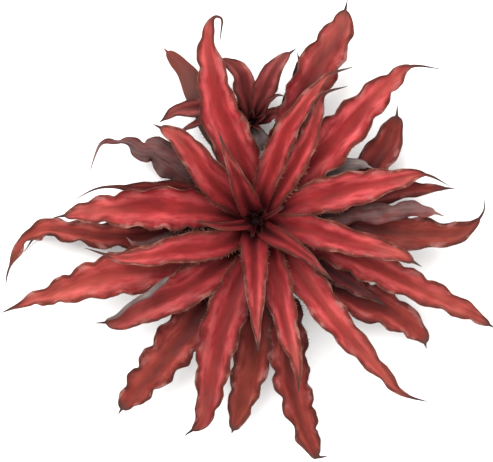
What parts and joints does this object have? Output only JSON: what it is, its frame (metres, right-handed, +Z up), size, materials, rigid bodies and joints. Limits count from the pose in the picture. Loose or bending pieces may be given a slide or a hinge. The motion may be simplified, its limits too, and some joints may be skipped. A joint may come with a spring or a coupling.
{
  "type": "red earth star",
  "caption": "Unpotted rosette of waved, toothed, pink-striped leaves on a short stem, with a young offset beside the heart.",
  "frame": {"origin": "middle of the flat cut face under the stem, on the surface that the plant rests on", "axes": "+Z up the stem and out of the heart, +Y towards the offset, +X to the right with the offset at the top"},
  "size_m": [0.3326, 0.3097, 0.1046],
  "materials": {
    "stem": "rough brown stem with leaf scars",
    "leaf_young": "satin leaf, nearly black maroon towards the heart",
    "leaf_bright": "satin leaf, pink-red side bands, brown middle and toothed brown edges",
    "leaf_dull": "satin leaf, duller dark red, silver-grey scales beneath",
    "leaf_withered": "dry leaf, grey-brown scales beneath",
    "leaf_offset": "satin young leaf, dark red"
  },
  "bodies": {
    "root": {"stem": "stem", "heart_leaf_1": "leaf_young", "heart_leaf_2": "leaf_young", "heart_leaf_3": "leaf_young", "heart_leaf_4": "leaf_young", "heart_leaf_5": "leaf_young", "heart_leaf_6": "leaf_young", "upper_leaf_1": "leaf_bright", "upper_leaf_2": "leaf_bright", "upper_leaf_3": "leaf_bright", "upper_leaf_4": "leaf_bright", "upper_leaf_5": "leaf_bright", "upper_leaf_6": "leaf_bright", "middle_leaf_1": "leaf_bright", "middle_leaf_2": "leaf_bright", "middle_leaf_3": "leaf_bright", "middle_leaf_4": "leaf_bright", "middle_leaf_5": "leaf_bright", "middle_leaf_6": "leaf_bright", "middle_leaf_7": "leaf_bright", "spreading_leaf_1": "leaf_bright", "spreading_leaf_2": "leaf_bright", "spreading_leaf_3": "leaf_bright", "spreading_leaf_4": "leaf_dull", "spreading_leaf_5": "leaf_dull", "spreading_leaf_6": "leaf_dull", "spreading_leaf_7": "leaf_dull", "spreading_leaf_8": "leaf_dull", "lower_leaf_1": "leaf_dull", "lower_leaf_2": "leaf_dull", "lower_leaf_3": "leaf_dull", "lower_leaf_4": "leaf_dull", "lower_leaf_5": "leaf_dull", "lower_leaf_6": "leaf_dull", "lower_leaf_7": "leaf_dull", "lower_leaf_8": "leaf_dull", "withered_leaf_1": "leaf_withered", "withered_leaf_2": "leaf_withered", "withered_leaf_3": "leaf_withered", "withered_leaf_4": "leaf_withered", "withered_leaf_5": "leaf_withered", "withered_leaf_6": "leaf_withered", "offset_leaf_1": "leaf_offset", "offset_leaf_2": "leaf_offset", "offset_leaf_3": "leaf_offset", "offset_leaf_4": "leaf_offset", "offset_leaf_5": "leaf_offset", "offset_leaf_6": "leaf_offset", "offset_leaf_7": "leaf_offset", "offset_leaf_8": "leaf_offset"}
  },
  "joints": []
}
